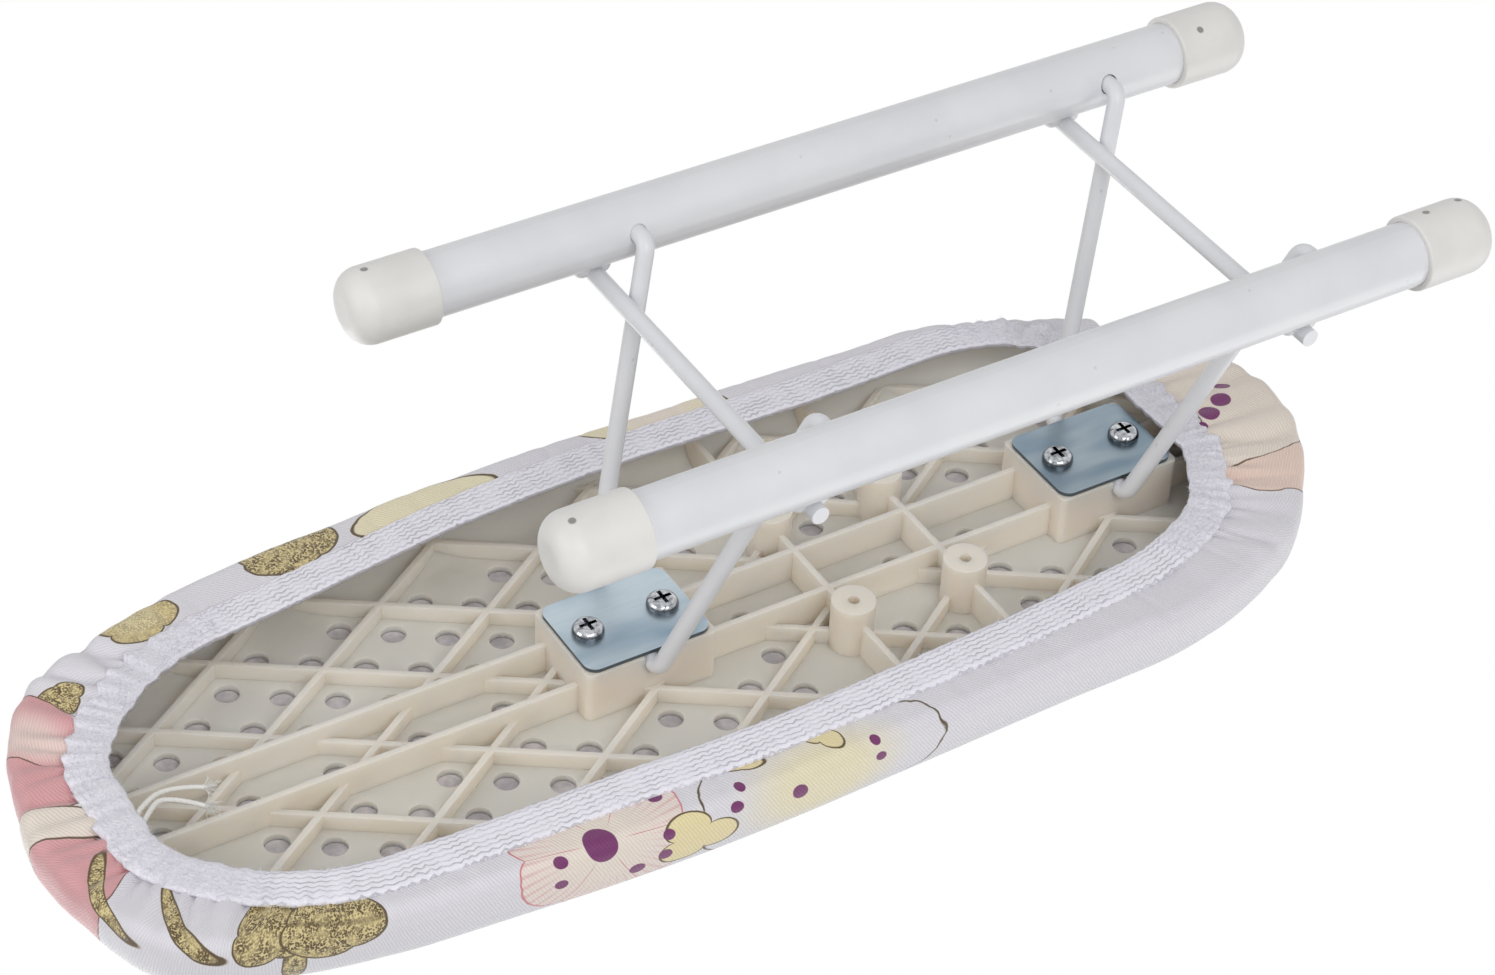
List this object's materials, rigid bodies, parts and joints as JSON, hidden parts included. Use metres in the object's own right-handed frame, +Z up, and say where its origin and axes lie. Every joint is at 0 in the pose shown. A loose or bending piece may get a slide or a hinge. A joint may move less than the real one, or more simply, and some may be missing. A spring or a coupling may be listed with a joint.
{
  "type": "sleeve ironing board",
  "caption": "Small tabletop sleeve ironing board with a rounded padded top and cloth cover, on two wire legs that fold flat with a frame of tubular feet",
  "frame": {"origin": "on the floor, under the middle of the object's box, feet standing at z = 0", "axes": "+Z up with the ironing face on top, -X towards the nose end, +X towards the heel end, +Y to the front tube"},
  "size_m": [0.3528, 0.1328, 0.1054],
  "materials": {
    "tray_plastic": "ivory moulded plastic, slightly translucent",
    "foam": "soft foam sheet",
    "cover_fabric": "printed cotton twill",
    "hem_elastic": "knitted elastic band, gathered",
    "cotton_cord": "twisted white cotton",
    "zinc_plate": "blue zinc plating",
    "bright_screw": "bright nickel plating",
    "white_enamel": "white powder coat",
    "cap_plastic": "soft off-white plastic"
  },
  "bodies": {
    "board": {"board_tray": "tray_plastic", "foam_pad": "foam", "fabric_cover": "cover_fabric", "elastic_hem": "hem_elastic", "drawstring_long": "cotton_cord", "drawstring_short": "cotton_cord", "nose_plate": "zinc_plate", "heel_plate": "zinc_plate", "nose_plate_screw_fore": "bright_screw", "nose_plate_screw_aft": "bright_screw", "heel_plate_screw_fore": "bright_screw", "heel_plate_screw_aft": "bright_screw"},
    "nose_leg_wire": {"nose_leg": "white_enamel"},
    "heel_leg_wire": {"heel_leg": "white_enamel"},
    "foot_frame": {"front_tube": "white_enamel", "back_tube": "white_enamel", "front_cap_nose": "cap_plastic", "front_cap_heel": "cap_plastic", "back_cap_nose": "cap_plastic", "back_cap_heel": "cap_plastic", "nose_crossbar": "white_enamel", "heel_crossbar": "white_enamel", "weld_beads": "white_enamel"}
  },
  "joints": [
    {"name": "nose_leg_fold", "type": "hinge", "parent": "board", "child": "nose_leg_wire", "pos_m": [-0.0302, 0, 0.08845], "axis": [0, 1, 0], "range_deg": [0, 92.76]},
    {"name": "heel_leg_fold", "type": "hinge", "parent": "board", "child": "heel_leg_wire", "pos_m": [0.1057, 0, 0.08845], "axis": [0, 1, 0], "range_deg": [0, 92.76]},
    {"name": "foot_frame_swing", "type": "hinge", "parent": "nose_leg_wire", "child": "foot_frame", "pos_m": [-0.0047, 0, 0.00735], "axis": [0, 1, 0], "range_deg": [-92.76, 0]}
  ],
  "couplings": [
    {"joint": "heel_leg_fold", "follows": "nose_leg_fold", "ratio": 1},
    {"joint": "foot_frame_swing", "follows": "nose_leg_fold", "ratio": -1}
  ]
}
